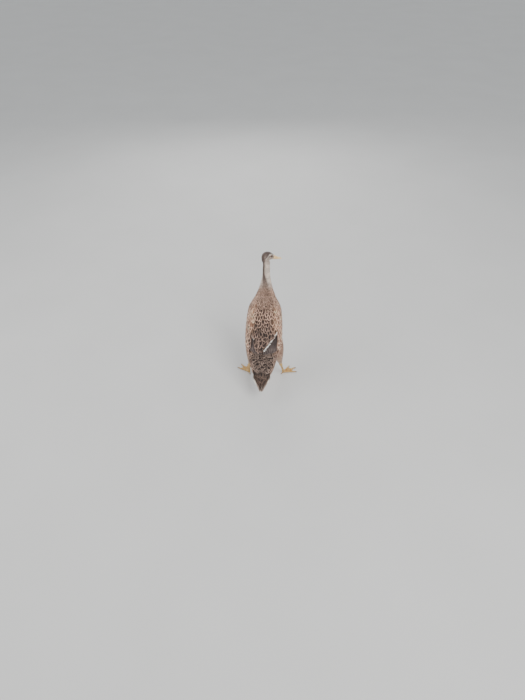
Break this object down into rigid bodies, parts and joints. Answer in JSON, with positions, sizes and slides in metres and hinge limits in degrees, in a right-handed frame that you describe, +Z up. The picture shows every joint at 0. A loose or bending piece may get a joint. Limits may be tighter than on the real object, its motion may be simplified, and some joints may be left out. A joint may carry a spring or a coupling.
{
  "type": "indian runner duck",
  "caption": "Life-size standing Indian Runner duck with an upright bottle-shaped body, folded wings, pointed tail and webbed feet, its head turned to its right.",
  "frame": {"origin": "on the floor, under the middle of the whole duck's bounding box", "axes": "+Z up, the longest extent; the duck faces -Y with its left side towards +X, and its head is turned towards -X"},
  "size_m": [0.2474, 0.3618, 0.49],
  "materials": {
    "plumage": "soft laced brown feathers",
    "wing_plumage": "satin dark brown feathers",
    "eye": "wet gloss",
    "bill_horn": "smooth satin",
    "leg_skin": "scaly satin",
    "claw_horn": "worn horn"
  },
  "bodies": {
    "root": {"torso": "plumage", "neck": "plumage", "head": "plumage", "tail": "plumage", "thigh_left": "plumage", "thigh_right": "plumage", "wing_left": "wing_plumage", "wing_right": "wing_plumage", "eye_left": "eye", "eye_right": "eye", "bill_upper": "bill_horn", "bill_lower": "bill_horn", "shank_left": "leg_skin", "shank_right": "leg_skin", "foot_left": "leg_skin", "foot_right": "leg_skin", "claw_left_inner": "claw_horn", "claw_left_middle": "claw_horn", "claw_left_outer": "claw_horn", "claw_left_hind": "claw_horn", "claw_right_inner": "claw_horn", "claw_right_middle": "claw_horn", "claw_right_outer": "claw_horn", "claw_right_hind": "claw_horn"}
  },
  "joints": []
}
